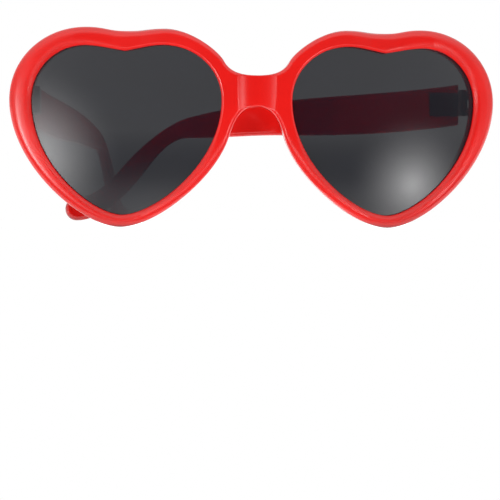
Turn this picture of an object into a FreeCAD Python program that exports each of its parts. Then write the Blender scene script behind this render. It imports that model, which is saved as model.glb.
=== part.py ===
"""Heart shaped sunglasses: a moulded front, two lenses and two temples on screwed metal hinges.

Millimetres. X runs to the wearer's left, Y back towards the wearer, Z up. The origin is the saddle of
the bridge: the top of the nose arch, in the middle of the front's depth. The left temple is folded
behind the front and the right temple stands nearly open.
"""
import FreeCAD
import Part
import Sketcher
import math
import os

Vector = FreeCAD.Vector

SIZES = [
    ("front_radius", 250.0, "radius of the ball that the front face is bent to"),
    ("frame_depth", 5.4, "depth of the front, face to back"),
    ("lens_gap", 11.16, "middle of the bridge to the nose side of a lens opening"),
    ("opening_outer_reach", 29.6, "lens centre to the outer side of the heart opening"),
    ("opening_inner_reach", 28.7, "lens centre to the nose side of the heart opening"),
    ("opening_side_height", 1.7, "height of the widest place of the opening"),
    ("opening_lobe_height", 18.4, "height of the two lobes of the opening"),
    ("opening_outer_lobe", 13.1, "lens centre to the top of the outer lobe"),
    ("opening_inner_lobe", 10.8, "lens centre to the top of the inner lobe"),
    ("opening_notch_place", 0.6, "lens centre to the notch between the lobes"),
    ("opening_notch_depth", 1.8, "notch below the tops of the lobes"),
    ("opening_tip_place", 1.7, "lens centre to the tip"),
    ("opening_tip_depth", 33.1, "depth of the tip below the origin"),
    ("notch_reach", 2.4, "length of the notch's straight start"),
    ("notch_slope", 0.12, "rise of the notch's sides"),
    ("lobe_reach", 4.0, "length of the flat on top of a lobe"),
    ("lobe_fullness", 0.56, "roundness of the lobes"),
    ("flank_fullness", 0.57, "roundness of the flanks at the side"),
    ("tip_fullness", 0.31, "roundness of the flanks at the tip"),
    ("rim_outer_width", 6.272, "rim beside the outer side of the opening"),
    ("rim_side_height", 2.1, "height of the widest place of a rim"),
    ("rim_outer_lobe_lean", 0.44, "top of the rim's outer lobe towards the nose from that of the opening"),
    ("rim_outer_lobe_width", 5.7, "rim above the outer lobe of the opening"),
    ("rim_notch_lean", 1.19, "valley of the rim towards the nose from the notch of the opening"),
    ("rim_notch_width", 6.1, "rim above the notch of the opening"),
    ("rim_inner_lobe_lean", 0.94, "top of the rim's inner lobe towards the nose from that of the opening"),
    ("rim_inner_lobe_width", 5.0, "rim above the inner lobe of the opening"),
    ("rim_tip_width", 3.7, "rim below the tip of the opening"),
    ("rim_shoulder_width", 1.16, "lens opening's nose side to where a heart leaves the bridge"),
    ("rim_shoulder_height", 13.6, "height of that place"),
    ("rim_shoulder_slope", 62.0, "slope of the heart there, degrees"),
    ("bridge_height", 9.3, "top of the bridge above the nose arch"),
    ("nose_flank_width", 2.76, "lens opening's nose side to the nose flank"),
    ("nose_flank_depth", 9.2, "depth of that place"),
    ("nose_flank_slope", 106.0, "slope of the nose flank, degrees"),
    ("nose_arch_reach", 5.4, "roundness of the nose arch"),
    ("nose_flank_reach", 12.7, "straightness of the nose flank below that place"),
    ("nose_flank_turn", 3.8, "straightness of the nose flank above it"),
    ("rim_shoulder_reach", 3.6, "straightness of the heart where it leaves the bridge"),
    ("rim_crown_reach", 7.8, "roundness of the inner lobe on the bridge side"),
    ("rim_valley_fullness", 0.5, "roundness of the valley"),
    ("rim_flank_fullness", 0.51, "roundness of a rim's flank at the side"),
    ("rim_tip_fullness", 0.35, "roundness of a rim's flank at the tip"),
    ("rim_tip_reach", 11.3, "roundness of the tip on the nose side"),
    ("rim_front_round", 2.8, "rounding of the front's outer edge at the sides"),
    ("bridge_front_round", 1.0, "rounding of the front's outer edge at the bridge"),
    ("rim_back_round", 0.9, "rounding of the back's outer edge"),
    ("opening_round", 0.7, "rounding of the openings' front edge"),
    ("bridge_dish_radius", 26.0, "radius of the hollow across the bridge"),
    ("bridge_dish_depth", 0.8, "depth of the hollow across the bridge"),
    ("bridge_dish_tilt", 1.6, "lean of the hollow, deeper at the top, degrees"),
    ("lens_recess", 1.2, "lens face behind the rim's face"),
    ("lens_thickness", 1.6, "thickness of a lens"),
    ("lens_engage", 1.0, "lens edge inside the rim"),
    ("lens_clearance", 0.08, "room round a lens in its groove"),
    ("pad_inset", 2.4, "nose flank to the middle of a nose pad"),
    ("pad_drop", 9.5, "nose pad's middle below the origin"),
    ("pad_setback", 1.9, "nose pad's middle behind the back of the bridge"),
    ("pad_thickness", 1.7, "half thickness of a nose pad"),
    ("pad_depth", 4.6, "half depth of a nose pad"),
    ("pad_height", 7.0, "half height of a nose pad"),
    ("pad_splay", 16.0, "nose pads open downwards, degrees"),
    ("hinge_inset", 8.3, "hinge axis inside the outer side of a rim"),
    ("hinge_setback", 11.23, "hinge axis behind the front face beside it"),
    ("hinge_height", 2.0, "middle of the hinge above the origin"),
    ("hinge_tilt", 0.87, "lean of the hinge axis, which slopes the open temple down, degrees"),
    ("barrel_radius", 1.5, "radius of the hinge barrels"),
    ("barrel_height", 2.4, "height of one barrel"),
    ("barrel_gap", 0.1, "room between two barrels"),
    ("pin_radius", 0.7, "radius of the hinge screw"),
    ("pin_clearance", 0.04, "room round the screw in the barrels"),
    ("screw_head_radius", 1.25, "radius of the screw head"),
    ("screw_head_height", 0.8, "height of the screw head"),
    ("screw_slot_width", 0.35, "width of the slot in the screw head"),
    ("screw_slot_depth", 0.4, "depth of the slot"),
    ("leaf_thickness", 1.0, "thickness of a hinge leaf"),
    ("front_leaf_length", 5.2, "length of the front's hinge leaf"),
    ("temple_leaf_length", 9.0, "length of the temple's hinge leaf"),
    ("leaf_neck", 2.0, "length of the neck from barrel to leaf"),
    ("leaf_round", 0.8, "rounding of a leaf's far corners"),
    ("temple_offset", 1.75, "hinge axis to the temple's inner face"),
    ("temple_thickness", 4.0, "thickness of a temple at the hinge"),
    ("temple_tip_thickness", 2.8, "thickness of a temple at its tip"),
    ("temple_root", 1.0, "hinge axis to the temple's end"),
    ("temple_root_height", 12.8, "height of a temple at the hinge"),
    ("temple_root_fall", 0.16, "fall of the upper edge at the hinge"),
    ("temple_waist_fall", 0.27, "fall of the upper edge at the narrowest place"),
    ("temple_belly_place", 58.3, "hinge to the lowest place of the straight part"),
    ("temple_belly_drop", 10.1, "depth of that place"),
    ("temple_bend_reach", 20.6, "narrowest place to the steepest place of the ear bend"),
    ("temple_waist_top", -4.7, "upper edge at the narrowest place"),
    ("temple_waist_height", 6.5, "height at the narrowest place"),
    ("temple_hook_reach", 17.9, "steepest place of the ear bend to the end of a temple"),
    ("temple_bend_drop", 20.1, "depth of the upper edge there"),
    ("temple_bend_width", 6.3, "width of the temple across the ear bend"),
    ("temple_bend_slope", 50.0, "slope of the ear bend, degrees"),
    ("temple_reach", 124.4, "hinge to the end of a temple"),
    ("temple_tip_drop", 33.5, "depth of the tip's end"),
    ("temple_tip_width", 7.1, "width of the paddle tip"),
    ("temple_tip_slope", 2.0, "slope of the paddle tip, degrees"),
    ("bend_fullness", 0.35, "roundness of the ear bend"),
    ("temple_round", 1.1, "rounding of a temple's long edges"),
    ("left_fold_lean", 2.0, "folded left temple leans this far past square to the front, degrees"),
    ("right_rest_turn", 16.0, "right temple at rest stands this far short of open, degrees"),
    ("block_inset", 0.25, "end block's inner face outside the temple's inner face"),
    ("block_gap", 0.1, "room between the end block and the open temple"),
    ("block_height", 12.4, "height of an end block"),
    ("block_bury", 3.73, "front end of an end block behind the front face beside the hinge"),
    ("block_round", 1.0, "rounding of an end block's edges"),
    ("leaf_end_gap", 0.2, "leaf's end inside the end of its block or temple"),
    ("leaf_fit", 0.02, "room round a leaf in its pocket"),
]

SIDES = {"right": -1, "left": 1}
EDGE_SAMPLES = 5
EDGE_TOLERANCE = 0.01

doc = FreeCAD.newDocument("heart_sunglasses")
sheet = doc.addObject("Spreadsheet::Sheet", "sizes")
for row, (alias, value, note) in enumerate(SIZES, start=1):
    sheet.set(f"A{row}", note)
    sheet.set(f"B{row}", str(value))
    sheet.setAlias(f"B{row}", alias)
doc.recompute()


def size(alias):
    """Reads one driving dimension from the sheet."""
    return float(sheet.get(alias))


def bind(item, **expressions):
    """Ties properties of an object to cells of the sheet."""
    for name, expression in expressions.items():
        item.setExpression(name, expression)
    return item


def add(kind, name, **properties):
    """Adds an object to the document and sets its properties."""
    item = doc.addObject(kind, name)
    for key, value in properties.items():
        setattr(item, key, value)
    return item


def shape_object(name, shape):
    """Puts a wire or solid that has no parametric feature of its own into the document."""
    return add("Part::Feature", name, Shape=shape)


def axes_placement(origin, along_x, along_y):
    """Placement whose local X and Y lie along two given square directions."""
    along_z = along_x.cross(along_y)
    return FreeCAD.Placement(origin, FreeCAD.Rotation(along_x, along_y, along_z, "XYZ"))


def smooth_wire(nodes):
    """Closed chain of cubic curves through nodes of (point, handle before, handle after)."""
    edges = []
    for (start, _, leaving), (end, arriving, _) in zip(nodes, nodes[1:] + nodes[:1]):
        curve = Part.BezierCurve()
        curve.setPoles([start, start + leaving, end + arriving, end])
        edges.append(curve.toShape())
    return Part.Wire(edges)


def prism(name, wire, placement, direction, reach):
    """Solid swept both ways from a closed wire along a direction."""
    outline = shape_object(name + "_outline", wire)
    outline.Placement = placement
    return add(
        "Part::Extrusion", name, Base=outline, DirMode="Custom", Dir=direction,
        LengthFwd=reach, LengthRev=reach, Solid=True,
    )


def ball(name, radius_expression):
    """Ball about the centre that the front is bent around."""
    item = bind(add("Part::Sphere", name), Radius=radius_expression)
    return bind(item, **{".Placement.Base.y": "sizes.front_radius - sizes.frame_depth / 2"})


def shell(name, outer_expression, inner_expression):
    """Curved sheet between two balls about the front's centre."""
    outer = ball(name + "_outer", outer_expression)
    inner = ball(name + "_inner", inner_expression)
    return add("Part::Cut", name, Base=outer, Tool=inner)


def ball_centre():
    return Vector(0, size("front_radius") - size("frame_depth") / 2, 0)


def face_depth(across, height):
    """Y of the front face at a place across the front and a height."""
    return ball_centre().y - math.sqrt(size("front_radius") ** 2 - across ** 2 - height ** 2)


def lens_turn():
    """Turn of a lens about the front's centre that leaves the lens gap beside the bridge."""
    radius = size("front_radius")
    reach = size("opening_inner_reach")
    return math.asin(size("lens_gap") / math.hypot(radius, reach)) + math.atan(reach / radius)


def across_front(along):
    """Distance from the middle of the bridge of a place along a lens, outwards from its centre."""
    return size("front_radius") * math.sin(lens_turn()) + along * math.cos(lens_turn())


def half_width():
    return across_front(size("opening_outer_reach")) + size("rim_outer_width")


def nose_flank_place():
    return size("lens_gap") - size("nose_flank_width")


def heart_nodes(grow):
    """Nodes of a lens opening about its lens centre, with every side moved out by grow."""
    outer = size("opening_outer_reach") + grow
    inner = size("opening_inner_reach") + grow
    top = size("opening_lobe_height") + grow
    tip = size("opening_tip_depth") + grow
    side = size("opening_side_height")
    outer_lobe = size("opening_outer_lobe")
    inner_lobe = size("opening_inner_lobe")
    tip_place = size("opening_tip_place")
    lobe = size("lobe_fullness")
    lobe_side = Vector(0, (top - side) * lobe)
    flank_side = Vector(0, -(side + tip) * size("flank_fullness"))
    flat = Vector(size("lobe_reach"), 0)
    reach = size("notch_reach")
    rise = reach * size("notch_slope")
    tip_in = Vector(-(tip_place + inner) * size("tip_fullness"), 0)
    tip_out = Vector((outer - tip_place) * size("tip_fullness"), 0)
    notch = Vector(size("opening_notch_place"), top - size("opening_notch_depth"))
    return [
        (Vector(tip_place, -tip), tip_in, tip_out),
        (Vector(outer, side), flank_side, lobe_side),
        (Vector(outer_lobe, top), Vector((outer - outer_lobe) * lobe, 0), -flat),
        (notch, Vector(reach, rise), Vector(-reach, rise)),
        (Vector(-inner_lobe, top), flat, Vector(-(inner - inner_lobe) * lobe, 0)),
        (Vector(-inner, side), lobe_side, flank_side),
    ]


def front_nodes():
    """Nodes of the front's outline: half from the bridge round a heart to the nose arch, and its mirror."""
    lobe = size("lobe_fullness")
    valley = size("rim_valley_fullness")
    half = half_width()
    side = size("rim_side_height")
    opening_top = size("opening_lobe_height")
    outer_lobe = across_front(size("opening_outer_lobe")) - size("rim_outer_lobe_lean")
    outer_top = opening_top + size("rim_outer_lobe_width")
    inner_lobe = across_front(-size("opening_inner_lobe")) - size("rim_inner_lobe_lean")
    inner_top = opening_top + size("rim_inner_lobe_width")
    notch = across_front(size("opening_notch_place")) - size("rim_notch_lean")
    notch_top = opening_top - size("opening_notch_depth") + size("rim_notch_width")
    tip = size("opening_tip_depth") + size("rim_tip_width")
    tip_place = across_front(size("opening_tip_place"))
    shoulder_place = size("lens_gap") - size("rim_shoulder_width")
    shoulder_slope = math.radians(size("rim_shoulder_slope"))
    climb = Vector(math.cos(shoulder_slope), math.sin(shoulder_slope)) * size("rim_shoulder_reach")
    flank_slope = math.radians(size("nose_flank_slope"))
    rise = Vector(math.cos(flank_slope), math.sin(flank_slope))
    inner_run = Vector((notch - inner_lobe) * valley, 0)
    outer_run = Vector((outer_lobe - notch) * valley, 0)
    bridge = Vector(shoulder_place * valley, 0)
    arch = Vector(size("nose_arch_reach"), 0)
    half_nodes = [
        (Vector(shoulder_place, size("rim_shoulder_height")), -climb, climb),
        (Vector(inner_lobe, inner_top), Vector(-size("rim_crown_reach"), 0), inner_run),
        (Vector(notch, notch_top), -inner_run, outer_run),
        (Vector(outer_lobe, outer_top), -outer_run, Vector((half - outer_lobe) * lobe, 0)),
        (
            Vector(half, side),
            Vector(0, (outer_top - side) * lobe),
            Vector(0, -(side + tip) * size("rim_flank_fullness")),
        ),
        (
            Vector(tip_place, -tip),
            Vector((half - tip_place) * size("rim_tip_fullness"), 0),
            Vector(-size("rim_tip_reach"), 0),
        ),
        (
            Vector(nose_flank_place(), -size("nose_flank_depth")),
            rise * -size("nose_flank_reach"),
            rise * size("nose_flank_turn"),
        ),
    ]
    mirrored = [(flip(point), flip(after), flip(before)) for point, before, after in reversed(half_nodes)]
    bridge_top = (Vector(0, size("bridge_height")), -bridge, bridge)
    nose_arch = (Vector(0, 0), arch, -arch)
    return [bridge_top] + half_nodes + [nose_arch] + mirrored


def flip(vector):
    """Mirrors a vector across the middle of the bridge."""
    return Vector(-vector.x, vector.y, vector.z)


def temple_nodes():
    """Nodes of a temple seen from the side: upper edge, paddle tip and lower edge, from the hinge."""
    root = size("temple_root")
    half_root = size("temple_root_height") / 2
    reach = size("temple_reach")
    bend = reach - size("temple_hook_reach")
    bend_drop = size("temple_bend_drop")
    waist = bend - size("temple_bend_reach")
    waist_top = size("temple_waist_top")
    belly = size("temple_belly_place")
    tip_drop = size("temple_tip_drop")
    slope = math.radians(size("temple_bend_slope"))
    fall = Vector(math.cos(slope), -math.sin(slope))
    across = Vector(-math.sin(slope), -math.cos(slope)) * size("temple_bend_width")
    tip_slope = math.radians(size("temple_tip_slope"))
    tip_fall = Vector(math.cos(tip_slope), -math.sin(tip_slope))
    tip_across = Vector(-math.sin(tip_slope), -math.cos(tip_slope)) * (size("temple_tip_width") / 2)
    tip_end = Vector(reach, -tip_drop)
    tip_centre = tip_end - tip_fall * (size("temple_tip_width") / 2)
    tip_top = tip_centre - tip_across
    tip_low = tip_centre + tip_across
    tip_turn = size("temple_tip_width") / 2 * size("lobe_fullness")
    upper_bend = Vector(bend, -bend_drop)
    lower_bend = upper_bend + across
    third = 1 / 3
    straight = (waist - root) * third
    turn = (bend - waist) * size("bend_fullness")
    foot = (tip_top - upper_bend).Length * third
    lower_foot = (tip_low - lower_bend).Length * third
    hinge_run = Vector(1, -size("temple_root_fall"))
    waist_run = Vector(1, -size("temple_waist_fall"))
    low_waist = Vector(waist, waist_top - size("temple_waist_height"))
    belly_run = Vector((waist - belly) * third, 0)
    low_root = Vector(root, -half_root)
    low_run = (belly - root) * third
    return [
        (Vector(root, half_root), Vector(0, -half_root * third), hinge_run * straight),
        (Vector(waist, waist_top), waist_run * -straight, waist_run * turn),
        (upper_bend, fall * -turn, fall * foot),
        (tip_top, tip_fall * -foot, tip_fall * tip_turn),
        (tip_end, tip_across * -size("lobe_fullness"), tip_across * size("lobe_fullness")),
        (tip_low, tip_fall * tip_turn, tip_fall * -lower_foot),
        (lower_bend, fall * lower_foot, fall * -turn),
        (low_waist, Vector(turn, 0), -belly_run),
        (Vector(belly, -size("temple_belly_drop")), belly_run, Vector(-low_run, 0)),
        (low_root, hinge_run * low_run, Vector(0, half_root * third)),
    ]


def lens_placement(side):
    """Lens frame: X outwards along the lens, Y up, with its origin on the front face."""
    turn = lens_turn()
    outwards = Vector(side * math.cos(turn), math.sin(turn), 0)
    radial = Vector(side * math.sin(turn), -math.cos(turn), 0)
    origin = ball_centre() + radial * size("front_radius")
    return axes_placement(Vector(origin.x, origin.y, 0), outwards, Vector(0, 0, 1))


def heart_prism(name, side, grow):
    """Heart swept square through the lens, with its outline moved out by grow."""
    placement = lens_placement(side)
    normal = placement.Rotation.multVec(Vector(0, 0, 1))
    return prism(name, smooth_wire(heart_nodes(grow)), placement, normal, half_width())


def hinge_point(side):
    place = half_width() - size("hinge_inset")
    height = size("hinge_height")
    return Vector(side * place, face_depth(place, height) + size("hinge_setback"), height)


def hinge_axis():
    """Direction of both hinge axes, leaning back so that open temples slope down."""
    tilt = math.radians(size("hinge_tilt"))
    return Vector(0, math.sin(tilt), math.cos(tilt))


def hinge_back_direction():
    tilt = math.radians(size("hinge_tilt"))
    return Vector(0, math.cos(tilt), -math.sin(tilt))


def hinge_placement(side):
    """Hinge frame: X outwards, Y back along the open temple, Z along the hinge axis."""
    return axes_placement(hinge_point(side), Vector(side, 0, 0), hinge_back_direction())


def at_rest(side, placement):
    """Turns a placement from open to its rest: the left temple folded, the right one nearly open."""
    angle = 90 + size("left_fold_lean") if side == SIDES["left"] else -size("right_rest_turn")
    turn = FreeCAD.Rotation(hinge_axis(), angle)
    return FreeCAD.Placement(Vector(), turn, hinge_point(side)).multiply(placement)


def near(value, target):
    return abs(value - target) < EDGE_TOLERANCE


def edges_where(shape, test):
    """Numbers of the edges on which every sampled point passes a test."""
    numbers = []
    for number, edge in enumerate(shape.Edges, start=1):
        if all(test(point) for point in edge.discretize(EDGE_SAMPLES)):
            numbers.append(number)
    return numbers


def rounded(name, base, edges):
    """Rounds edges, given as (edge number, radius at its start, radius at its end)."""
    return add("Part::Fillet", name, Base=base, Edges=edges)


def even(numbers, radius):
    """Roundings of edges with one radius."""
    return [(number, radius, radius) for number in numbers]


def graded(shape, numbers, radius_at):
    """Roundings of edges whose radius changes evenly between that of their ends."""
    ends = [(number, shape.Edges[number - 1].Vertexes) for number in numbers]
    return [(number, radius_at(first.Point), radius_at(last.Point)) for number, (first, last) in ends]


def outer_round(point):
    """Rounding of the front's outer edge at a point: it grows from the bridge to the sides."""
    share = abs(point.x) / half_width()
    return size("bridge_front_round") * (1 - share) + size("rim_front_round") * share


def box(name, low, high):
    """Box between two corners."""
    span = high - low
    item = add("Part::Box", name, Length=span.x, Width=span.y, Height=span.z)
    item.Placement.Base = low
    return item


def round_bar(name, radius_expression, low, high):
    """Upright cylinder about the local Z axis."""
    item = bind(add("Part::Cylinder", name, Height=high - low), Radius=radius_expression)
    item.Placement.Base = Vector(0, 0, low)
    return item


def build_rim():
    """Bent front blank with its two heart openings and rounded edges."""
    plate = shell("front_sheet", "sizes.front_radius", "sizes.front_radius - sizes.frame_depth")
    plan = axes_placement(Vector(), Vector(1, 0, 0), Vector(0, 0, 1))
    outline = prism("front_prism", smooth_wire(front_nodes()), plan, Vector(0, 1, 0), half_width())
    blank = add("Part::Common", "front_blank", Base=plate, Tool=outline)
    openings = [heart_prism(f"{name}_opening", side, 0) for name, side in SIDES.items()]
    cutter = add("Part::MultiFuse", "openings", Shapes=openings)
    pierced = add("Part::Cut", "front_pierced", Base=blank, Tool=cutter)
    doc.recompute()

    centre = ball_centre()
    front = size("front_radius")
    back = front - size("frame_depth")
    outer_edges = set(edges_where(pierced.Shape, lambda p: near(outline_distance(p), 0)))
    on_front = set(edges_where(pierced.Shape, lambda p: near((p - centre).Length, front)))
    on_back = set(edges_where(pierced.Shape, lambda p: near((p - centre).Length, back)))
    rounds = graded(pierced.Shape, sorted(on_front & outer_edges), outer_round)
    rounds += even(sorted(on_back & outer_edges), size("rim_back_round"))
    rounds += even(sorted(on_front - outer_edges), size("opening_round"))
    return rounded("front_rounded", pierced, rounds)


def outline_distance(point):
    """Distance from a point to the front's outline, seen square from the front."""
    wire = doc.getObject("front_prism_outline").Shape
    return wire.distToShape(Part.Vertex(point.x, 0, point.z))[0]


def build_front():
    """Front frame: the rim with its dished bridge, nose pads, end blocks, lens grooves and leaf pockets."""
    rim = build_rim()
    dish_length = size("bridge_dish_radius") * 2
    dish = add("Part::Cylinder", "bridge_hollow", Height=dish_length)
    bind(dish, Radius="sizes.bridge_dish_radius")
    middle = size("bridge_height") / 2
    face = -size("frame_depth") / 2
    deepest = Vector(0, face + size("bridge_dish_depth") - size("bridge_dish_radius"), middle)
    lean = FreeCAD.Rotation(Vector(1, 0, 0), -size("bridge_dish_tilt"))
    dish.Placement = FreeCAD.Placement(deepest - lean.multVec(Vector(0, 0, dish_length / 2)), lean)
    dished = add("Part::Cut", "front_dished", Base=rim, Tool=dish)

    additions = [dished]
    for name, side in SIDES.items():
        additions.append(build_pad(name, side))
        additions.append(build_block(name, side))
    joined = add("Part::MultiFuse", "front_joined", Shapes=additions)

    room = "sizes.lens_recess - sizes.lens_clearance"
    depth = "sizes.lens_recess + sizes.lens_thickness + sizes.lens_clearance"
    groove_sheet = shell("groove_sheet", f"sizes.front_radius - ({room})", f"sizes.front_radius - ({depth})")
    grow = size("lens_engage") + size("lens_clearance")
    seats = [heart_prism(f"{name}_seat", side, grow) for name, side in SIDES.items()]
    seat_pair = add("Part::MultiFuse", "lens_seats", Shapes=seats)
    grooves = add("Part::Common", "lens_grooves", Base=groove_sheet, Tool=seat_pair)
    grooved = add("Part::Cut", "front_grooved", Base=joined, Tool=grooves)
    pockets = [front_leaf_pocket(name, side) for name, side in SIDES.items()]
    pocket_pair = add("Part::MultiFuse", "front_leaf_pockets", Shapes=pockets)
    return add("Part::Cut", "front_frame", Base=grooved, Tool=pocket_pair)


def build_pad(name, side):
    """Moulded nose pad: a flat egg behind the nose flank, splayed open downwards."""
    pad = bind(
        add("Part::Ellipsoid", f"{name}_nose_pad", Angle1=-90, Angle2=90, Angle3=360),
        Radius1="sizes.pad_height", Radius2="sizes.pad_thickness", Radius3="sizes.pad_depth",
    )
    back = size("frame_depth") / 2 + size("pad_setback")
    place = Vector(side * (nose_flank_place() + size("pad_inset")), back, -size("pad_drop"))
    pad.Placement = FreeCAD.Placement(place, FreeCAD.Rotation(Vector(0, 1, 0), -side * size("pad_splay")))
    return pad


def build_block(name, side):
    """End block behind the outer rim, with the flat face that the open temple stops against."""
    inner = size("temple_offset") + size("block_inset")
    outer = size("temple_offset") + size("temple_thickness")
    end = size("temple_root") - size("block_gap")
    half = size("block_height") / 2
    start = size("block_bury") - size("hinge_setback")
    block = box(f"{name}_block_blank", Vector(inner, start, -half), Vector(outer, end, half))
    doc.recompute()
    along = edges_where(block.Shape, lambda p: near(p.x, outer) and near(abs(p.z), half))
    item = rounded(f"{name}_end_block", block, even(along, size("block_round")))
    item.Placement = hinge_placement(side)
    return item


def front_leaf_span():
    """Corners of the front leaf's plate in the hinge frame."""
    inner = size("temple_offset") + size("block_inset")
    half = barrel_stack()
    end = size("temple_root") - size("block_gap") - size("leaf_end_gap")
    low = Vector(inner, end - size("front_leaf_length"), -half)
    return low, Vector(inner + size("leaf_thickness"), end, half)


def temple_leaf_span():
    """Corners of the temple leaf's plate in the hinge frame."""
    inner = size("temple_offset")
    half = barrel_stack()
    start = size("temple_root") + size("leaf_end_gap")
    low = Vector(inner, start, -half)
    return low, Vector(inner + size("leaf_thickness"), start + size("temple_leaf_length"), half)


def leaf_pocket(name, span):
    """Pocket that takes a leaf's plate, with its fit all round and open on the inner face."""
    low, high = span
    fit = Vector(size("leaf_fit"), size("leaf_fit"), size("leaf_fit"))
    open_face = Vector(size("block_inset"), 0, 0)
    return box(name, low - fit - open_face, high + fit)


def front_leaf_pocket(name, side):
    pocket = leaf_pocket(f"{name}_front_leaf_pocket", front_leaf_span())
    pocket.Placement = hinge_placement(side).multiply(pocket.Placement)
    return pocket


def build_lens(name, side):
    """Tinted lens: a heart cut from a curved sheet that is parallel to the front."""
    depth = "sizes.lens_recess + sizes.lens_thickness"
    sheet_name = f"{name}_lens_sheet"
    plate = shell(sheet_name, "sizes.front_radius - sizes.lens_recess", f"sizes.front_radius - ({depth})")
    heart = heart_prism(f"{name}_lens_prism", side, size("lens_engage"))
    return add("Part::Common", f"{name}_lens", Base=plate, Tool=heart)


def barrel_stack():
    """Half the height of the three barrels and the gaps between them."""
    return 1.5 * size("barrel_height") + size("barrel_gap")


def barrel_bands(count):
    """Heights of the barrels of one leaf: the middle one, or the two outside it."""
    height = size("barrel_height")
    half = height / 2
    if count == 1:
        return [(-half, half)]
    start = half + size("barrel_gap")
    return [(start, start + height), (-start - height, -start)]


def build_leaf(name, span, bands, neck_direction):
    """Hinge leaf: plate, necks and bored barrels about the hinge axis."""
    low, high = span
    plate = box(f"{name}_plate", low, high)
    doc.recompute()
    far = low.y if neck_direction < 0 else high.y
    corners = edges_where(plate.Shape, lambda p: near(p.y, far) and near(abs(p.z), high.z))
    pieces = [rounded(f"{name}_plate_rounded", plate, even(corners, size("leaf_round")))]
    start = size("pin_radius")
    for number, (bottom, top) in enumerate(bands):
        pieces.append(round_bar(f"{name}_barrel_{number}", "sizes.barrel_radius", bottom, top))
        first, last = sorted((neck_direction * start, neck_direction * (start + size("leaf_neck"))))
        neck_low = Vector(start, first, bottom)
        pieces.append(box(f"{name}_neck_{number}", neck_low, Vector(low.x, last, top)))
    solid = add("Part::MultiFuse", f"{name}_solid", Shapes=pieces)
    reach = size("block_height")
    bore = round_bar(f"{name}_bore", "sizes.pin_radius + sizes.pin_clearance", -reach, reach)
    return add("Part::Cut", name, Base=solid, Tool=bore)


def build_temple(name, side):
    """Temple: side outline swept through its thickness, tapered to the tip, rounded and pocketed."""
    offset = size("temple_offset")
    thickness = size("temple_thickness")
    outline = shape_object(f"{name}_side_outline", smooth_wire(temple_nodes()))
    outline.Placement.Base = Vector(0, 0, side * offset)
    outwards = Vector(0, 0, side)
    bar = add("Part::Extrusion", f"{name}_bar", Base=outline, DirMode="Custom", Dir=outwards, Solid=True)
    bind(bar, LengthFwd="sizes.temple_thickness")
    taper = math.atan((thickness - size("temple_tip_thickness")) / size("temple_reach"))
    span = size("temple_reach")
    trim_low = Vector(0, -span, 0 if side > 0 else -thickness)
    trim = box(f"{name}_taper", trim_low, trim_low + Vector(span * 2, span * 2, thickness))
    turn = FreeCAD.Rotation(Vector(0, 1, 0), side * math.degrees(taper))
    start = FreeCAD.Placement(Vector(0, 0, side * (offset + thickness)), turn)
    trim.Placement = start.multiply(trim.Placement)
    tapered = add("Part::Cut", f"{name}_tapered", Base=bar, Tool=trim)
    doc.recompute()

    root = size("temple_root")
    slope = math.tan(taper)

    def on_a_face(p):
        depth = side * p.z - offset
        return near(depth, 0) or near(depth, thickness - slope * p.x)

    at_root = edges_where(tapered.Shape, lambda p: near(p.x, root))
    long_edges = [n for n in edges_where(tapered.Shape, on_a_face) if n not in at_root]
    smooth = rounded(f"{name}_rounded", tapered, even(long_edges, size("temple_round")))
    pocket = leaf_pocket(f"{name}_leaf_pocket", temple_leaf_span())
    pocket.Placement = hinge_to_temple(side).multiply(pocket.Placement)
    return add("Part::Cut", name, Base=smooth, Tool=pocket)


def hinge_to_temple(side):
    """Hinge frame seen in the temple's frame, whose X runs along it and Y up."""
    return temple_placement(side).inverse().multiply(hinge_placement(side))


def temple_placement(side):
    """Temple frame of an open temple: X back along it, Y up the hinge axis."""
    return axes_placement(hinge_point(side), hinge_back_direction(), hinge_axis())


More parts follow.
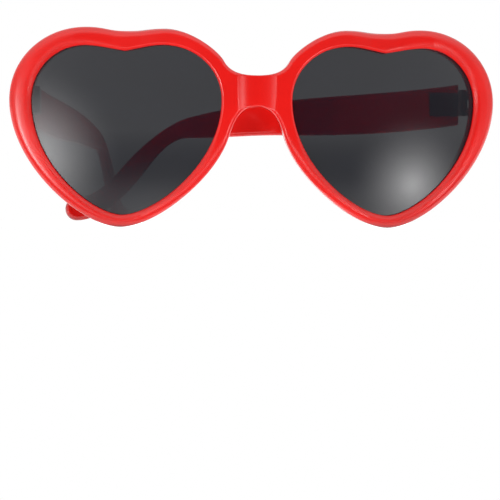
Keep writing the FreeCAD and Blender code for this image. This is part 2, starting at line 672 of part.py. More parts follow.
def build_screw(name):
    """Hinge screw: a turned shank and head with a slot cut across it."""
    body = doc.addObject("PartDesign::Body", name)
    planes = {item.Role: item for item in body.Origin.OriginFeatures}
    profile = body.newObject("Sketcher::SketchObject", f"{name}_profile")
    profile.AttachmentSupport = [(planes["XZ_Plane"], "")]
    profile.MapMode = "FlatFace"
    stack = "1.5 * sizes.barrel_height + sizes.barrel_gap"
    top = barrel_stack()
    shank = size("pin_radius")
    head = size("screw_head_radius")
    crown = top + size("screw_head_height")
    corners = [(0, -top), (shank, -top), (shank, top), (head, top), (head, crown), (0, crown)]
    for (x0, y0), (x1, y1) in zip(corners, corners[1:] + corners[:1]):
        profile.addGeometry(Part.LineSegment(Vector(x0, y0, 0), Vector(x1, y1, 0)))
    constrain_ring(profile, len(corners), ["Horizontal", "Vertical"] * 3)
    spans = [
        ("shank_radius", "DistanceX", (-1, 1, 0, 2), shank, "sizes.pin_radius"),
        ("foot", "DistanceY", (0, 1, -1, 1), top, stack),
        ("seat", "DistanceY", (-1, 1, 2, 1), top, stack),
        ("head_radius", "DistanceX", (-1, 1, 2, 2), head, "sizes.screw_head_radius"),
        ("head_height", "DistanceY", (3, 1, 3, 2), crown - top, "sizes.screw_head_height"),
    ]
    profile.addConstraint(Sketcher.Constraint("PointOnObject", 0, 1, -2))
    for label, kind, ends, value, expression in spans:
        number = profile.addConstraint(Sketcher.Constraint(kind, *ends, value))
        profile.renameConstraint(number, label)
        profile.setExpression(f"Constraints.{label}", expression)
    turned = body.newObject("PartDesign::Revolution", f"{name}_turned")
    turned.Profile = profile
    turned.ReferenceAxis = (profile, ["V_Axis"])
    turned.Angle = 360
    doc.recompute()

    slot = body.newObject("Sketcher::SketchObject", f"{name}_slot_outline")
    slot.AttachmentSupport = [(planes["XY_Plane"], "")]
    slot.MapMode = "FlatFace"
    bind(slot, **{".AttachmentOffset.Base.z": f"{stack} + sizes.screw_head_height"})
    half = size("screw_slot_width") / 2
    ring = [(-head, -half), (head, -half), (head, half), (-head, half)]
    for (x0, y0), (x1, y1) in zip(ring, ring[1:] + ring[:1]):
        slot.addGeometry(Part.LineSegment(Vector(x0, y0, 0), Vector(x1, y1, 0)))
    constrain_ring(slot, len(ring), ["Horizontal", "Vertical"] * 2)
    slot.addConstraint(Sketcher.Constraint("Symmetric", 0, 1, 1, 2, -1, 1))
    for label, kind, ends, value, expression in [
        ("slot_width", "DistanceY", (1, 1, 1, 2), 2 * half, "sizes.screw_slot_width"),
        ("slot_length", "DistanceX", (0, 1, 0, 2), 2 * head, "2 * sizes.screw_head_radius"),
    ]:
        number = slot.addConstraint(Sketcher.Constraint(kind, *ends, value))
        slot.renameConstraint(number, label)
        slot.setExpression(f"Constraints.{label}", expression)
    cut = body.newObject("PartDesign::Pocket", f"{name}_slot")
    cut.Profile = slot
    bind(cut, Length="sizes.screw_slot_depth")
    doc.recompute()
    if cut.Shape.Volume >= turned.Shape.Volume:
        raise RuntimeError(f"{name}: the slot cut nothing")
    return body


def constrain_ring(sketch, count, directions):
    """Joins a ring of lines end to end and sets each line level or upright."""
    for number, direction in enumerate(directions):
        sketch.addConstraint(Sketcher.Constraint("Coincident", number, 2, (number + 1) % count, 1))
        sketch.addConstraint(Sketcher.Constraint(direction, number))


def main():
    nodes = [build_front()]
    for name, side in SIDES.items():
        nodes.append(build_lens(name, side))
        temple = build_temple(f"{name}_temple", side)
        temple.Placement = at_rest(side, temple_placement(side))
        front_leaf = build_leaf(f"{name}_hinge_front_leaf", front_leaf_span(), barrel_bands(2), -1)
        front_leaf.Placement = hinge_placement(side)
        temple_leaf = build_leaf(f"{name}_hinge_temple_leaf", temple_leaf_span(), barrel_bands(1), 1)
        temple_leaf.Placement = at_rest(side, hinge_placement(side))
        screw = build_screw(f"{name}_hinge_screw")
        upright = FreeCAD.Rotation(Vector(0, 0, 1), hinge_axis())
        screw.Placement = FreeCAD.Placement(hinge_point(side), upright)
        nodes += [temple, front_leaf, temple_leaf, screw]
    doc.recompute()

    failed = [item.Name for item in doc.Objects if {"Invalid", "Error"} & set(item.State)]
    if failed:
        raise RuntimeError("failed: " + ", ".join(failed))
    for node in nodes:
        node.Label = node.Name
        if node.Shape.isNull() or not node.Shape.isValid() or len(node.Shape.Solids) != 1:
            raise RuntimeError(f"{node.Label} is not one valid solid")
    os.makedirs("parts", exist_ok=True)
    for node in nodes:
        node.Shape.exportStep(f"parts/{node.Label}.step")


main()
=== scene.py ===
import math

import bmesh
import bpy
from bpy.props import FloatProperty, FloatVectorProperty, PointerProperty
from mathutils import Euler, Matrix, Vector


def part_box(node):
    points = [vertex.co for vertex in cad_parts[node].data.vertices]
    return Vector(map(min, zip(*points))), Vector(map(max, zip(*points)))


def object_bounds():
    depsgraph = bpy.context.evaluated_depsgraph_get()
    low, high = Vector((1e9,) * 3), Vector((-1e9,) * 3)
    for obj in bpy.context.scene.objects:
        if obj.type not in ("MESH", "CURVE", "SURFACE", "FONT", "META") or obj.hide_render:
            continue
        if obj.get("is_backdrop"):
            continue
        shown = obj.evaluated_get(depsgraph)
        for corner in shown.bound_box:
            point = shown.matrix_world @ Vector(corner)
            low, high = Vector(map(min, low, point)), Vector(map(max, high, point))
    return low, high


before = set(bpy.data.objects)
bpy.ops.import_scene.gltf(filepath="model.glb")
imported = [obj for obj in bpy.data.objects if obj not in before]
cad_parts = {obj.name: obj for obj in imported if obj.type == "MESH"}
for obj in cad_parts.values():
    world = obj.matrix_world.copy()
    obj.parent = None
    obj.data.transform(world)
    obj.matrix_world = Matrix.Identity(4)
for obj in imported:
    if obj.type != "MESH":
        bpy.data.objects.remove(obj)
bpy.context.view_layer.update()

bl_info = {
    "name": "Heart sunglasses dresser",
    "version": (1, 0, 0),
    "blender": (4, 5, 0),
    "location": "View3D > Sidebar > Sunglasses",
    "description": "Finishes the moulded front, temples, lenses and hinges and sets a photo stage",
    "category": "Object",
}

SIDES = ("right", "left")
MOULDED_FRONT = ("front_frame",)
TEMPLES = tuple(f"{side}_temple" for side in SIDES)
LENSES = tuple(f"{side}_lens" for side in SIDES)
LEAVES = tuple(f"{side}_hinge_{part}_leaf" for side in SIDES for part in ("front", "temple"))
SCREWS = tuple(f"{side}_hinge_screw" for side in SIDES)
PHOTO_PIXELS = 500
SENSOR_WIDTH = 36.0

# Octaves of noise
SMOOTH, CLOUDY, FINE, FINEST = 1.0, 2.0, 3.0, 4.0

# Skin of the moulded plastic
PLASTIC_IOR = 1.58
POLISH_ROUGHNESS = 0.05
FLOW_STRETCH = (0.45, 1.0, 1.0)
FLOW_RANGE = (0.3, 0.7)
FLOW_SHADES = (0.93, 1.05)
FLOW_ROUGHNESS = 0.05
RUB_STRETCH = (0.08, 0.3, 1.0)
SCUFF_RANGE = (0.56, 0.78)
PATCH_RANGE = (0.45, 0.7)
SCUFF_ROUGHNESS = 0.1
SCUFF_DULLING = 0.08

# Soft forms of the front: its bend, and the places, in metres, between which each form grows
BALL_RADIUS = 0.25
RIM_DEPTHS = (0.005, 0.007)
CROWN_SAMPLES = 16
CROWN_ACROSS = (0.02, 0.06)
CROWN_HEIGHTS = (-0.018, -0.006)
LEAN_ASIDE = (-0.004, 0.016)
OUTSIDE_ACROSS = (-0.055, -0.04)
LOWER_HEIGHTS = (-0.013, 0.0)
UPPER_SWING = 0.5
SWING_SHARES = (1.0, 0.0, 1 / 3)
FACE_DEPTHS = (0.0, 0.002)
DISH_FLOOR = 0.94
FLANK_ACROSS = (-0.0045, -0.001)

# Lenses
LENS_IOR = 1.5
WIPE_STRETCH = (0.35, 1.0, 1.0)
SMUDGE_RANGE = (0.4, 0.75)
SMUDGE_SHADE = 1.25
SMUDGE_ROUGHNESS = 0.015
WAVE_WIDTH = 0.018
WAVE_DEPTH = 0.00000075
# Share of the way from the lowest point of the lenses to their middle below which the painted shade, the
# higher opacity at the tip, is full
PAINTED_SHADE_REACH = 0.45

# Hinge steel
LEAF_STRETCH = (1.0, 0.06, 1.0)
SCREW_STRETCH = (0.15, 0.15, 1.0)
STEEL_SHADES = (0.82, 1.08)
STAIN_WIDTH = 0.00144
GRAIN_DEPTH = 0.000004
GRAIN_ROUGHNESS = 0.14
STAIN_ROUGHNESS = 0.1

# Table top and softboxes
SPECK_WIDTH = 0.004
SPECK_SHADES = (0.99, 1.01)
SOFTBOX_FALL = 2.4
SOFTBOX_CORNERS = 48

# Room: the light of its walls, from straight before the sunglasses (0) to straight behind them (1),
# and the heights or depths of a unit vector between which its other lights fade
ROOM_WALLS = ((0.07, 0.26), (0.15, 1.0), (0.3, 1.0), (0.55, 0.8))
ROOM_DOME = 0.35
ROOM_SLANT = 0.1
FLOOR_HEIGHTS = (-0.5, -0.27)
CEILING_HEIGHTS = (0.35, 0.7)
DIM_SHARE = 0.8
DIM_HEIGHTS = (-0.4, -0.1)
BACKDROP_DEPTHS = (0.2, 0.5)


class Value:
    """A socket of a node tree that takes part in Python arithmetic."""

    def __init__(self, finish, socket):
        self.finish = finish
        self.socket = socket

    def calculate(self, operation, *values):
        """Adds one Math node."""
        sockets = dict(enumerate(values))
        return self.finish.node("ShaderNodeMath", {"operation": operation}, sockets)

    def __add__(self, other):
        return self.calculate("ADD", self, other)

    def __radd__(self, other):
        return self.calculate("ADD", other, self)

    def __sub__(self, other):
        return self.calculate("SUBTRACT", self, other)

    def __rsub__(self, other):
        return self.calculate("SUBTRACT", other, self)

    def __mul__(self, other):
        return self.calculate("MULTIPLY", self, other)

    def __rmul__(self, other):
        return self.calculate("MULTIPLY", other, self)

    def __pow__(self, other):
        return self.calculate("POWER", self, other)

    def size(self):
        return self.calculate("ABSOLUTE", self)

    def at_least(self, other):
        return self.calculate("MAXIMUM", self, other)


class Finish:
    """Builder of one node tree, of a material or of the world."""

    def __init__(self, tree):
        self.tree = tree
        tree.nodes.clear()

    def node(self, kind, settings=None, sockets=None, output=0):
        """Adds a node, sets its settings, then its sockets, and returns one of its outputs."""
        item = self.tree.nodes.new(kind)
        for key, value in (settings or {}).items():
            if key == "stops":
                self.set_stops(item.color_ramp, value)
            else:
                setattr(item, key, value)
        for key, value in (sockets or {}).items():
            socket = item.inputs[key]
            if isinstance(value, Value):
                self.tree.links.new(value.socket, socket)
            else:
                socket.default_value = value
        return Value(self, item.outputs[output]) if len(item.outputs) else None

    @staticmethod
    def set_stops(ramp, stops):
        while len(ramp.elements) < len(stops):
            ramp.elements.new(1.0)
        for element, (place, colour) in zip(ramp.elements, stops):
            element.position = place
            element.color = colour

    def place(self):
        """Position on the piece, in metres."""
        return self.node("ShaderNodeTexCoord", output="Object")

    def rays(self, *kinds):
        """One mask for each kind of light ray."""
        return [self.node("ShaderNodeLightPath", output=f"Is {kind} Ray") for kind in kinds]

    def parts(self, vector, axes):
        """Some of the axes of a vector, as numbers."""
        sockets = {"Vector": vector}
        return [self.node("ShaderNodeSeparateXYZ", {}, sockets, output=axis) for axis in axes]

    def stretched(self, vector, factors):
        return self.node("ShaderNodeVectorMath", {"operation": "MULTIPLY"}, {0: vector, 1: factors})

    def noise(self, vector, width, detail=CLOUDY):
        """Soft noise whose blots are about as wide as width, in metres."""
        sockets = {"Vector": vector, "Scale": 1 / width, "Detail": detail}
        return self.node("ShaderNodeTexNoise", {}, sockets, output="Fac")

    def spread(self, value, low, high, start, end):
        """Moves a value from the range of start to end into that of low to high."""
        ranges = {"From Min": start, "From Max": end, "To Min": low, "To Max": high}
        return self.node("ShaderNodeMapRange", {"clamp": True}, {"Value": value, **ranges})

    def blend(self, factor, first, second):
        """Mixes two colours."""
        sockets = {0: factor, 6: first, 7: second}
        return self.node("ShaderNodeMix", {"data_type": "RGBA"}, sockets, output=2)

    def tilted(self, normal, share, turn):
        """A normal that leans by a varying share of a turn."""
        sockets = {0: normal, 1: self.stretched(share, turn)}
        leaning = self.node("ShaderNodeVectorMath", {"operation": "ADD"}, sockets)
        return self.node("ShaderNodeVectorMath", {"operation": "NORMALIZE"}, {0: leaning})

    def bump(self, height, depth, base=None):
        """Normal of a surface whose height varies by depth, in metres, on top of a base normal."""
        sockets = {"Height": height, "Distance": depth, "Strength": 1.0}
        if base is not None:
            sockets["Normal"] = base
        return self.node("ShaderNodeBump", {}, sockets)

    def surface(self, sockets):
        """Ends a material in one Principled shader."""
        shader = self.node("ShaderNodeBsdfPrincipled", {}, sockets)
        self.node("ShaderNodeOutputMaterial", {}, {"Surface": shader})


def opaque(colour):
    return (*colour, 1.0)


def scaled(colour, factor):
    return opaque([channel * factor for channel in colour])


def new_finish(name):
    material = bpy.data.materials.new(name)
    material.use_nodes = True
    return material, Finish(material.node_tree)


def heading(turn, rise):
    """Unit vector from the bridge, turned to the wearer's left and raised above level."""
    level = math.cos(rise)
    return Vector((math.sin(turn) * level, -math.cos(turn) * level, math.sin(rise)))


def dress(nodes, material):
    """Gives every material slot of some CAD nodes one finish."""
    for name in nodes:
        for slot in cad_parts[name].material_slots:
            slot.material = material


class SunglassesMoulding(bpy.types.PropertyGroup):
    colour: FloatVectorProperty(
        name="Red", description="Colour of the moulded plastic", subtype="COLOR", size=3, min=0,
        max=1, default=(0.77, 0.0095, 0.0072),
    )
    roughness: FloatProperty(
        name="Roughness", description="Roughness of the moulded skin", subtype="FACTOR", min=0,
        max=1, default=0.13,
    )
    gloss: FloatProperty(
        name="Polish", description="Share of the polished top skin", subtype="FACTOR", min=0, max=1,
        default=0.1,
    )
    peel_width: FloatProperty(
        name="Peel width", description="Width of one ripple of the moulded skin", unit="LENGTH",
        subtype="DISTANCE", min=0, default=0.0014,
    )
    peel_depth: FloatProperty(
        name="Peel depth", description="Depth of the ripples of the moulded skin", unit="LENGTH",
        subtype="DISTANCE", min=0, default=0.000004,
    )
    flow_width: FloatProperty(
        name="Flow width", description="Width of the cloudy streaks where the melt flowed",
        unit="LENGTH", subtype="DISTANCE", min=0, default=0.012,
    )
    scuff_width: FloatProperty(
        name="Scuff width", description="Width of the finest rub marks", unit="LENGTH",
        subtype="DISTANCE", min=0, default=0.00025,
    )
    bridge_crown: FloatProperty(
        name="Bridge crown", description="Reach of the soft crown from the edges near the bridge",
        unit="LENGTH", subtype="DISTANCE", min=0, default=0.0006,
    )
    rim_crown: FloatProperty(
        name="Rim crown", description="Reach of the soft crown from the edges of the outer rims",
        unit="LENGTH", subtype="DISTANCE", min=0, default=0.0032,
    )
    tip_crown: FloatProperty(
        name="Tip crown", description="Reach of the soft crown from the edges of the lower rims",
        unit="LENGTH", subtype="DISTANCE", min=0, default=0.0036,
    )
    temple_crown: FloatProperty(
        name="Temple crown", description="Reach of the soft crown from the edges of the temples",
        unit="LENGTH", subtype="DISTANCE", min=0, default=0.001,
    )
    rim_lean: FloatProperty(
        name="Rim lean", description="Slope of the outer rims towards their lenses", min=0, max=1,
        default=0.06,
    )
    rim_swing: FloatProperty(
        name="Rim swing", description="Extra inward slope of the outer rim on the wearer's right",
        min=0, max=1, default=0.06,
    )
    rim_flat: FloatProperty(
        name="Rim flat", description="Share of the crown that the lower rim there lacks",
        subtype="FACTOR", min=0, max=1, default=0.3,
    )
    dish_width: FloatProperty(
        name="Dish width", description="Half the width of the dish across the bridge",
        unit="LENGTH", subtype="DISTANCE", min=0, default=0.0063,
    )
    dish_depth: FloatProperty(
        name="Dish depth", description="Extra hollow that shades the dish", unit="LENGTH",
        subtype="DISTANCE", min=0, default=0.0005,
    )
    dish_dip: FloatProperty(
        name="Dish dip", description="Downward slope of the dish on the wearer's right", min=0,
        max=1, default=0.095,
    )


class SunglassesLens(bpy.types.PropertyGroup):
    colour: FloatVectorProperty(
        name="Tint", description="Colour of the dark tint", subtype="COLOR", size=3, min=0, max=1,
        default=(0.0035, 0.0042, 0.0085),
    )
    # The higher opacity at the tip is painted shade: it makes each lens darker towards its bottom
    opacity_top: FloatProperty(
        name="Opacity at the top",
        description="Share of light that one face stops at the top of a lens", subtype="FACTOR",
        min=0, max=1, default=0.787,
    )
    opacity_tip: FloatProperty(
        name="Opacity at the tip",
        description="Share of light that one face stops at the tip of a lens", subtype="FACTOR",
        min=0, max=1, default=0.877,
    )
    roughness: FloatProperty(
        name="Roughness", description="Roughness of the polished lens", subtype="FACTOR", min=0,
        max=1, default=0.06,
    )
    spill: FloatProperty(
        name="Spill", description="Share of the tint that light on its way to the temples misses",
        subtype="FACTOR", min=0, max=1, default=1.0,
    )
    smudge_width: FloatProperty(
        name="Smudge width", description="Width of the faint wipe marks", unit="LENGTH",
        subtype="DISTANCE", min=0, default=0.009,
    )


class SunglassesHinge(bpy.types.PropertyGroup):
    colour: FloatVectorProperty(
        name="Steel", description="Colour of the stamped steel", subtype="COLOR", size=3, min=0,
        max=1, default=(0.6, 0.59, 0.57),
    )
    roughness: FloatProperty(
        name="Roughness", description="Roughness of the steel", subtype="FACTOR", min=0, max=1,
        default=0.42,
    )
    grain_width: FloatProperty(
        name="Grain width", description="Width of the rolled grain of the leaves", unit="LENGTH",
        subtype="DISTANCE", min=0, default=0.00012,
    )


class SunglassesStage(bpy.types.PropertyGroup):
    table_colour: FloatVectorProperty(
        name="Table", description="Colour of the table top", subtype="COLOR", size=3, min=0, max=1,
        default=(0.86, 0.86, 0.86),
    )
    table_glow: FloatProperty(
        name="Table white", description="White that the camera sees added to the table",
        subtype="FACTOR", min=0, max=1, default=0.72,
    )
    table_width: FloatProperty(
        name="Table width", description="Width of the table top", unit="LENGTH", subtype="DISTANCE",
        default=2.4,
    )
    table_depth: FloatProperty(
        name="Table depth", description="Depth of the table top behind its front edge",
        unit="LENGTH", subtype="DISTANCE", default=1.6,
    )
    table_margin: FloatProperty(
        name="Table margin", description="Table in front of the sunglasses", unit="LENGTH",
        subtype="DISTANCE", default=-0.004,
    )
    room_level: FloatProperty(
        name="Room light", description="Light of the brightest walls of the room", min=0,
        default=0.7,
    )
    floor_level: FloatProperty(
        name="Floor light", description="Light that the white floor before the camera adds", min=0,
        default=0.95,
    )
    ceiling_level: FloatProperty(
        name="Ceiling light", description="Light that the ceiling adds", min=0, default=0.5,
    )
    dark_level: FloatProperty(
        name="Dark wall", description="Share of light from the wall behind the camera",
        subtype="FACTOR", min=0, max=1, default=0.06,
    )
    back_level: FloatProperty(
        name="Back wall", description="Share of light from the wall behind the sunglasses",
        subtype="FACTOR", min=0, max=1, default=0.5,
    )
    right_level: FloatProperty(
        name="Right softbox level", description="Brightness of the softbox on the wearer's right",
        min=0, default=15.5,
    )
    left_level: FloatProperty(
        name="Left softbox level", description="Brightness of the softbox on the wearer's left",
        min=0, default=10.5,
    )
    right_radius: FloatProperty(
        name="Right softbox radius", description="Radius of the softbox on the wearer's right",
        unit="LENGTH", subtype="DISTANCE", default=0.4,
    )
    left_radius: FloatProperty(
        name="Left softbox radius", description="Radius of the softbox on the wearer's left",
        unit="LENGTH", subtype="DISTANCE", default=0.28,
    )
    strip_level: FloatProperty(
        name="Strip level", description="Brightness of the low strip light before the sunglasses",
        min=0, default=3.0,
    )
    strip_radius: FloatProperty(
        name="Strip radius", description="Half the height of the low strip light", unit="LENGTH",
        subtype="DISTANCE", default=0.3,
    )
    strip_stretch: FloatProperty(
        name="Strip stretch", description="Width of the low strip light over its height", min=1,
        default=5.0,
    )
    strip_drop: FloatProperty(
        name="Strip drop", description="Angle of the low strip light below level", unit="ROTATION",
        subtype="ANGLE", default=math.radians(17.1),
    )
    softbox_distance: FloatProperty(
        name="Softbox distance", description="Softbox to the sunglasses", unit="LENGTH",
        subtype="DISTANCE", default=1.226,
    )
    right_turn: FloatProperty(
        name="Right softbox turn",
        description="Angle of the softbox on the wearer's right to the side", unit="ROTATION",
        subtype="ANGLE", default=math.radians(36.1),
    )
    right_drop: FloatProperty(
        name="Right softbox drop",
        description="Angle of the softbox on the wearer's right below level", unit="ROTATION",
        subtype="ANGLE", default=math.radians(6.2),
    )
    left_turn: FloatProperty(
        name="Left softbox turn",
        description="Angle of the softbox on the wearer's left to the side", unit="ROTATION",
        subtype="ANGLE", default=math.radians(34.3),
    )
    left_drop: FloatProperty(
        name="Left softbox drop",
        description="Angle of the softbox on the wearer's left below level", unit="ROTATION",
        subtype="ANGLE", default=math.radians(10.2),
    )
    view_turn: FloatProperty(
        name="Camera turn", description="Camera to the wearer's right of straight ahead",
        unit="ROTATION", subtype="ANGLE", default=math.radians(5.25),
    )
    view_rise: FloatProperty(
        name="Camera rise", description="Camera above the bridge", unit="ROTATION", subtype="ANGLE",
        default=math.radians(-2.9),
    )
    view_roll: FloatProperty(
        name="Camera roll", description="Turn of the camera about its view line", unit="ROTATION",
        subtype="ANGLE", default=math.radians(0.2),
    )
    view_distance: FloatProperty(
        name="Camera distance", description="Camera to the bridge", unit="LENGTH",
        subtype="DISTANCE", default=0.685,
    )
    view_lens: FloatProperty(
        name="Focal length", description="Focal length of the camera", unit="CAMERA", default=161.9,
    )
    saddle_column: FloatProperty(
        name="Saddle column", description="Column of the bridge saddle in the picture, in pixels",
        subtype="PIXEL", default=256.5,
    )
    saddle_row: FloatProperty(
        name="Saddle row", description="Row of the bridge saddle in the picture, in pixels",
        subtype="PIXEL", default=106.3,
    )


class SUNGLASSES_OT_moulding(bpy.types.Operator):
    """Give the front and both temples their glossy red moulded skin"""

    bl_idname = "sunglasses.dress_moulding"
    bl_label = "Dress moulded pieces"

    def execute(self, context):
        look = context.scene.sunglasses_moulding
        material, finish = new_finish("red_moulded_plastic")
        place = finish.place()
        flow = finish.noise(finish.stretched(place, FLOW_STRETCH), look.flow_width, FINE)
        peel = finish.noise(place, look.peel_width, SMOOTH)
        rub = finish.noise(finish.stretched(place, RUB_STRETCH), look.scuff_width, FINE)
        patch = finish.spread(finish.noise(place, look.flow_width), 0.0, 1.0, *PATCH_RANGE)
        scuff = finish.spread(rub, 0.0, 1.0, *SCUFF_RANGE) * patch
        deep, pale = (scaled(look.colour, shade) for shade in FLOW_SHADES)
        finish.surface({
            "Base Color": finish.blend(finish.spread(flow, 0.0, 1.0, *FLOW_RANGE), deep, pale),
            "Roughness": look.roughness + FLOW_ROUGHNESS * flow + SCUFF_ROUGHNESS * scuff,
            "IOR": PLASTIC_IOR,
            "Coat Weight": look.gloss - SCUFF_DULLING * scuff,
            "Coat Roughness": POLISH_ROUGHNESS,
            "Normal": finish.bump(peel, look.peel_depth, self.moulded_form(look, finish, place)),
        })
        dress(MOULDED_FRONT + TEMPLES, material)
        return {"FINISHED"}

    def moulded_form(self, look, finish, place):
        """Normal of the crowned rims, the leaning outer rims and the dish across the bridge."""
        across, back, up = finish.parts(place, "XYZ")
        outward = across * across
        depth = back - (outward + up * up) * (0.5 / BALL_RADIUS)
        rim = finish.spread(depth, 1.0, 0.0, *RIM_DEPTHS)
        outside = finish.spread(across, 1.0, 0.0, *OUTSIDE_ACROSS) * rim
        crown = self.soft_crown(look, finish, outward, up, rim, outside)
        lean = self.outer_lean(look, finish, across, up, rim, crown)
        swing = finish.spread(up, 1.0, UPPER_SWING, *LOWER_HEIGHTS) * outside
        swung = finish.tilted(lean, swing, [look.rim_swing * share for share in SWING_SHARES])
        front = finish.spread(back, 1.0, 0.0, *FACE_DEPTHS)
        edge = look.dish_width ** 2
        inside = finish.spread(outward, 1.0, 0.0, edge * DISH_FLOOR ** 2, edge)
        flank = finish.spread(across, 1.0, 0.0, *FLANK_ACROSS)
        dipped = finish.tilted(swung, inside * flank * front, (0.0, 0.0, -look.dish_dip))
        hollow = finish.spread(outward, 0.0, 1.0, 0.0, edge)
        return finish.bump(hollow * front, look.dish_depth, dipped)

    def soft_crown(self, look, finish, outward, up, rim, outside):
        """A crown that grows from the bridge to the outer rims and tips, and a small even crown on the
        temples.
        """
        near, far = CROWN_ACROSS
        sides = finish.spread(outward, look.bridge_crown, look.rim_crown, near ** 2, far ** 2)
        tips = finish.spread(up, look.tip_crown, look.bridge_crown, *CROWN_HEIGHTS)
        flat = look.rim_flat * (finish.spread(up, 1.0, 0.0, *LOWER_HEIGHTS) * outside)
        full = sides.at_least(tips) * (1.0 - flat)
        sockets = {"Radius": look.temple_crown + rim * (full - look.temple_crown)}
        return finish.node("ShaderNodeBevel", {"samples": CROWN_SAMPLES}, sockets)

    def outer_lean(self, look, finish, across, up, rim, crown):
        """A slope of the outer rims towards the middles of their lenses."""
        low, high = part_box("left_lens")
        aside = across.size() - (low.x + high.x) / 2
        above = up - (low.z + high.z) / 2
        span = (aside * aside + above * above) ** 0.5
        outer = finish.spread(aside, 0.0, 1.0, *LEAN_ASIDE) * rim
        return finish.bump(span * outer, look.rim_lean, crown)


class SUNGLASSES_OT_lenses(bpy.types.Operator):
    """Give both lenses their polished dark tint"""

    bl_idname = "sunglasses.dress_lenses"
    bl_label = "Dress lenses"

    def execute(self, context):
        look = context.scene.sunglasses_lens
        material, finish = new_finish("dark_tinted_lens")
        place = finish.place()
        wipe = finish.noise(finish.stretched(place, WIPE_STRETCH), look.smudge_width, FINEST)
        smudge = finish.spread(wipe, 0.0, 1.0, *SMUDGE_RANGE)
        wave = finish.noise(place, WAVE_WIDTH, SMOOTH)
        height, = finish.parts(place, "Z")
        heights = [corner[2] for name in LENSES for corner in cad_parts[name].bound_box]
        low, middle = min(heights), (min(heights) + max(heights)) / 2
        full_shade_height = low + PAINTED_SHADE_REACH * (middle - low)
        # Opacity grows from the middle of each lens down to its tip: painted shade, darker towards the
        # bottom
        opacity = finish.spread(height, look.opacity_tip, look.opacity_top, full_shade_height, middle)
        shadow, bounce = finish.rays("Shadow", "Diffuse")
        clean, smudged = opaque(look.colour), scaled(look.colour, SMUDGE_SHADE)
        finish.surface({
            "Base Color": finish.blend(smudge, clean, smudged),
            "Roughness": look.roughness + SMUDGE_ROUGHNESS * smudge,
            "IOR": LENS_IOR,
            "Alpha": opacity * (1.0 - look.spill * shadow.at_least(bounce)),
            "Normal": finish.bump(wave, WAVE_DEPTH),
        })
        dress(LENSES, material)
        return {"FINISHED"}


class SUNGLASSES_OT_hinges(bpy.types.Operator):
    """Give the hinge leaves their rolled steel and the screws their turned steel"""

    bl_idname = "sunglasses.dress_hinges"
    bl_label = "Dress hinges"

    def execute(self, context):
        look = context.scene.sunglasses_hinge
        for name, nodes, stretch in (
            ("rolled_hinge_steel", LEAVES, LEAF_STRETCH),
            ("turned_screw_steel", SCREWS, SCREW_STRETCH),
        ):
            material, finish = new_finish(name)
            place = finish.place()
            grain = finish.noise(finish.stretched(place, stretch), look.grain_width)
            stain = finish.noise(place, STAIN_WIDTH, FINE)
            dull, bright = (scaled(look.colour, shade) for shade in STEEL_SHADES)
            finish.surface({
                "Base Color": finish.blend(stain, dull, bright),
                "Metallic": 1.0,
                "Roughness": look.roughness + GRAIN_ROUGHNESS * grain + STAIN_ROUGHNESS * stain,
                "Normal": finish.bump(grain, GRAIN_DEPTH),
            })
            dress(nodes, material)
        return {"FINISHED"}


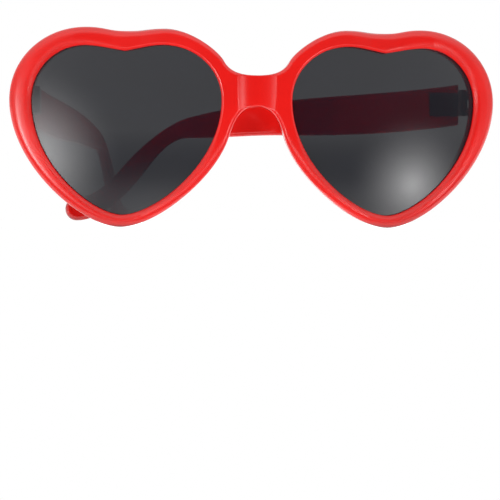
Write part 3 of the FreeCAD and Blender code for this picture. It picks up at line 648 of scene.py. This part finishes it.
class SUNGLASSES_OT_stage(bpy.types.Operator):
    """Set the table, the lights, the room and the camera of the photograph"""

    bl_idname = "sunglasses.set_stage"
    bl_label = "Set stage"

    def execute(self, context):
        look = context.scene.sunglasses_stage
        self.lay_table(look)
        right = (-look.right_turn, look.right_drop, look.right_level, look.right_radius)
        left = (look.left_turn, look.left_drop, look.left_level, look.left_radius)
        strip = (0.0, look.strip_drop, look.strip_level, look.strip_radius)
        self.hang_softbox(look, "softbox_right", *right)
        self.hang_softbox(look, "softbox_left", *left)
        self.hang_softbox(look, "strip_light", *strip).scale.x = look.strip_stretch
        self.light_room(context, look)
        self.aim_camera(context, look)
        context.scene.view_settings.view_transform = "Standard"
        return {"FINISHED"}

    def lay_table(self, look):
        """A white table top that carries the sunglasses and takes their shadow."""
        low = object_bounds()[0]
        front = low.y - look.table_margin
        half = look.table_width / 2
        material, finish = new_finish("table_top")
        camera, mirrored, through = finish.rays("Camera", "Glossy", "Transmission")
        seen = camera.at_least(mirrored).at_least(through)
        speck = finish.noise(finish.place(), SPECK_WIDTH, FINE)
        shade = finish.blend(speck, *(scaled(look.table_colour, share) for share in SPECK_SHADES))
        paint = finish.node("ShaderNodeBsdfDiffuse", {}, {"Color": shade})
        glow = finish.node("ShaderNodeEmission", {}, {"Strength": seen * look.table_glow})
        both = finish.node("ShaderNodeAddShader", {}, {0: paint, 1: glow})
        finish.node("ShaderNodeOutputMaterial", {}, {"Surface": both})
        back = front + look.table_depth
        corners = [(-half, front), (half, front), (half, back), (-half, back)]
        flat_piece("table_top", [Vector((x, y, low.z)) for x, y in corners], material)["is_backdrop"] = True

    def hang_softbox(self, look, name, turn, drop, level, radius):
        """A disc of light that fades out towards its rim and that the camera doesn't see."""
        away = heading(turn, -drop)
        material, finish = new_finish(name)
        spot = {0: finish.place()}
        span = finish.node("ShaderNodeVectorMath", {"operation": "LENGTH"}, spot, output="Value")
        core = finish.spread(span, 1.0, 0.0, 0.0, radius) ** SOFTBOX_FALL
        lit = finish.node("ShaderNodeEmission", {}, {"Strength": level})
        clear = finish.node("ShaderNodeBsdfTransparent")
        faded = finish.node("ShaderNodeMixShader", {}, {0: core, 1: clear, 2: lit})
        finish.node("ShaderNodeOutputMaterial", {}, {"Surface": faded})
        ring = [math.tau * step / SOFTBOX_CORNERS for step in range(SOFTBOX_CORNERS)]
        disc = [Vector((math.cos(a), math.sin(a), 0)) * radius for a in ring]
        box = flat_piece(name, disc, material)
        box.location = away * look.softbox_distance
        box.rotation_euler = (-away).to_track_quat("Z", "Y").to_euler()
        box.visible_camera = False
        box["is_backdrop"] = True
        return box

    def light_room(self, context, look):
        """White for the camera and in mirrored views to the back, and soft room light elsewhere."""
        world = bpy.data.worlds.new("studio_room")
        world.use_nodes = True
        context.scene.world = world
        finish = Finish(world.node_tree)
        camera, mirrored, through = finish.rays("Camera", "Glossy", "Transmission")
        side, back, up = finish.parts(finish.node("ShaderNodeTexCoord", output="Generated"), "XYZ")
        away = 1.0 + back + ROOM_DOME * (up * up) - ROOM_SLANT * side
        walls = ((0.0, look.dark_level), *ROOM_WALLS, (1.0, look.back_level))
        stops = [(place, opaque([level] * 3)) for place, level in walls]
        turned = {"Fac": 0.5 * away}
        wall = look.room_level * finish.node("ShaderNodeValToRGB", {"stops": stops}, turned)
        floor = look.floor_level * (finish.spread(up, 1.0, 0.0, *FLOOR_HEIGHTS) * (1.0 - mirrored))
        ceiling = look.ceiling_level * finish.spread(up, 0.0, 1.0, *CEILING_HEIGHTS)
        dim = 1.0 - mirrored * finish.spread(up, DIM_SHARE, 0.0, *DIM_HEIGHTS)
        room = wall * dim + floor + ceiling
        behind = finish.spread(back, 0.0, 1.0, *BACKDROP_DEPTHS)
        shown = camera.at_least(through).at_least(mirrored * behind)
        strength = shown + (1.0 - shown) * room
        sky = finish.node("ShaderNodeBackground", {}, {"Color": (1, 1, 1, 1), "Strength": strength})
        finish.node("ShaderNodeOutputWorld", {}, {"Surface": sky})

    def aim_camera(self, context, look):
        """A camera that has the bridge's saddle where the photograph has it."""
        away = heading(-look.view_turn, look.view_rise)
        camera = bpy.data.objects.new("photo_camera", bpy.data.cameras.new("photo_camera"))
        context.scene.collection.objects.link(camera)
        camera.data.sensor_width = SENSOR_WIDTH
        camera.data.lens = look.view_lens
        pixel = SENSOR_WIDTH / PHOTO_PIXELS / look.view_lens
        dip = math.atan((PHOTO_PIXELS / 2 - look.saddle_row) * pixel)
        swing = math.atan((look.saddle_column - PHOTO_PIXELS / 2) * pixel)
        camera.location = away * look.view_distance
        towards = (-away).to_track_quat("-Z", "Y")
        roll = Euler((0, 0, look.view_roll)).to_quaternion()
        aim = Euler((-dip, swing, 0)).to_quaternion()
        camera.rotation_euler = (towards @ roll @ aim).to_euler()
        context.scene.camera = camera


def flat_piece(name, corners, material):
    """One flat face between corners, as an object with a material."""
    mesh = bpy.data.meshes.new(name)
    shape = bmesh.new()
    shape.faces.new([shape.verts.new(corner) for corner in corners])
    shape.to_mesh(mesh)
    shape.free()
    mesh.materials.append(material)
    item = bpy.data.objects.new(name, mesh)
    bpy.context.scene.collection.objects.link(item)
    return item


class SUNGLASSES_PT_panel(bpy.types.Panel):
    """Sidebar panel with the finishes and the stage"""

    bl_idname = "SUNGLASSES_PT_panel"
    bl_label = "Heart sunglasses"
    bl_space_type = "VIEW_3D"
    bl_region_type = "UI"
    bl_category = "Sunglasses"

    def draw(self, context):
        for operator, group in STEPS:
            box = self.layout.box()
            settings = getattr(context.scene, group)
            for name in settings.__annotations__:
                box.prop(settings, name)
            box.operator(operator.bl_idname)


GROUPS = {
    "sunglasses_moulding": SunglassesMoulding,
    "sunglasses_lens": SunglassesLens,
    "sunglasses_hinge": SunglassesHinge,
    "sunglasses_stage": SunglassesStage,
}
STEPS = (
    (SUNGLASSES_OT_moulding, "sunglasses_moulding"),
    (SUNGLASSES_OT_lenses, "sunglasses_lens"),
    (SUNGLASSES_OT_hinges, "sunglasses_hinge"),
    (SUNGLASSES_OT_stage, "sunglasses_stage"),
)
CLASSES = (*GROUPS.values(), *(operator for operator, group in STEPS), SUNGLASSES_PT_panel)


def register():
    for item in CLASSES:
        bpy.utils.register_class(item)
    for name, group in GROUPS.items():
        setattr(bpy.types.Scene, name, PointerProperty(type=group))


def unregister():
    for name in GROUPS:
        delattr(bpy.types.Scene, name)
    for item in reversed(CLASSES):
        bpy.utils.unregister_class(item)


def main():
    register()
    bpy.ops.sunglasses.dress_moulding()
    bpy.ops.sunglasses.dress_lenses()
    bpy.ops.sunglasses.dress_hinges()
    bpy.ops.sunglasses.set_stage()


if __name__ == "__main__":
    main()
